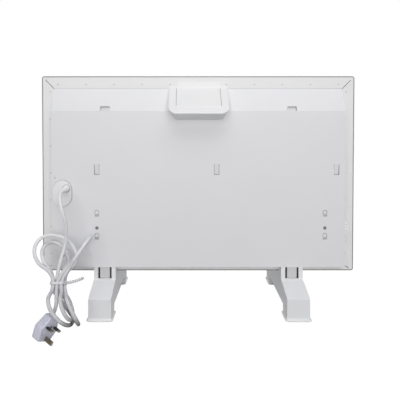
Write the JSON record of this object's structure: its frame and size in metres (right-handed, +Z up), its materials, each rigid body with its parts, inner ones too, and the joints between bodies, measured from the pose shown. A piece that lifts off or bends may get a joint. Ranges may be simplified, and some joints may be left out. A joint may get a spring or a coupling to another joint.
{
  "type": "electric panel heater",
  "caption": "Free-standing electric panel heater on sled feet, with a hinged control lid, a thumbwheel thermostat and a tied lead with a flat-pin plug.",
  "frame": {"origin": "on the floor, under the middle of the casing and of the feet, measured without the lead and plug", "axes": "+X to the right seen from the back, +Y towards the heater's front, +Z up"},
  "size_m": [0.78, 0.3477, 0.573],
  "materials": {
    "painted_steel": "fine white powder coat",
    "white_plastic": "satin moulded plastic",
    "foot_plastic": "satin moulded plastic",
    "lead_sheath": "smooth flexible sheath",
    "plug_plastic": "satin moulded plastic",
    "plug_brass": "polished",
    "rubber_pad": "matt",
    "bare_aluminium": "mill finish",
    "zinc_plate": "bright zinc plate",
    "ceramic": "unglazed ceramic",
    "board_laminate": "lacquered board",
    "dark_window": "smoked window"
  },
  "bodies": {
    "heater": {"front_panel": "painted_steel", "casing_frame": "painted_steel", "rear_cover": "painted_steel", "cover_screw_upper": "zinc_plate", "cover_screw_lower": "zinc_plate", "heat_shield": "bare_aluminium", "slot_pocket_left": "painted_steel", "slot_pocket_right": "painted_steel", "heating_element": "bare_aluminium", "element_cap_left": "ceramic", "element_cap_right": "ceramic", "element_bracket_left": "zinc_plate", "element_bracket_right": "zinc_plate", "thermal_cutout": "ceramic", "terminal_block": "ceramic", "tilt_switch": "white_plastic", "thermostat_body": "white_plastic", "cable_plate": "painted_steel", "cord_gland": "white_plastic", "control_housing": "white_plastic", "control_fascia": "white_plastic", "display_window": "dark_window", "control_board": "board_laminate", "foot_left": "foot_plastic", "foot_right": "foot_plastic", "foot_latch_left": "foot_plastic", "foot_latch_right": "foot_plastic", "foot_screw_left_inner": "zinc_plate", "foot_screw_left_outer": "zinc_plate", "foot_screw_right_inner": "zinc_plate", "foot_screw_right_outer": "zinc_plate", "foot_pad_left_rear": "rubber_pad", "foot_pad_left_front": "rubber_pad", "foot_pad_right_rear": "rubber_pad", "foot_pad_right_front": "rubber_pad", "lead_run": "lead_sheath", "lead_hank": "lead_sheath", "lead_tail": "lead_sheath", "twist_tie": "lead_sheath", "plug_body": "plug_plastic", "plug_cover": "plug_plastic", "plug_pin_earth": "plug_brass", "plug_pin_live": "plug_brass", "plug_pin_neutral": "plug_brass", "plug_fuse_carrier": "plug_plastic"},
    "control_door": {"control_door": "white_plastic"},
    "button_power": {"button_power": "white_plastic"},
    "button_heat": {"button_heat": "white_plastic"},
    "button_timer": {"button_timer": "white_plastic"},
    "thermostat_dial": {"thermostat_wheel": "white_plastic", "thermostat_shaft": "zinc_plate"}
  },
  "joints": [
    {"name": "door_hinge", "type": "hinge", "parent": "heater", "child": "control_door", "pos_m": [0, -0.08182, 0.49565], "axis": [1, 0, 0], "range_deg": [0, 95]},
    {"name": "power_press", "type": "slide", "parent": "heater", "child": "button_power", "axis": [0, 0.7071, -0.7071], "range_m": [0, 0.001], "stiffness_N_per_m": 700},
    {"name": "heat_press", "type": "slide", "parent": "heater", "child": "button_heat", "axis": [0, 0.7071, -0.7071], "range_m": [0, 0.001], "stiffness_N_per_m": 700},
    {"name": "timer_press", "type": "slide", "parent": "heater", "child": "button_timer", "axis": [0, 0.7071, -0.7071], "range_m": [0, 0.001], "stiffness_N_per_m": 700},
    {"name": "thermostat_turn", "type": "hinge", "parent": "heater", "child": "thermostat_dial", "pos_m": [0.3515, -0.0455, 0.1992], "axis": [0, 1, 0], "range_deg": [0, 270]}
  ]
}
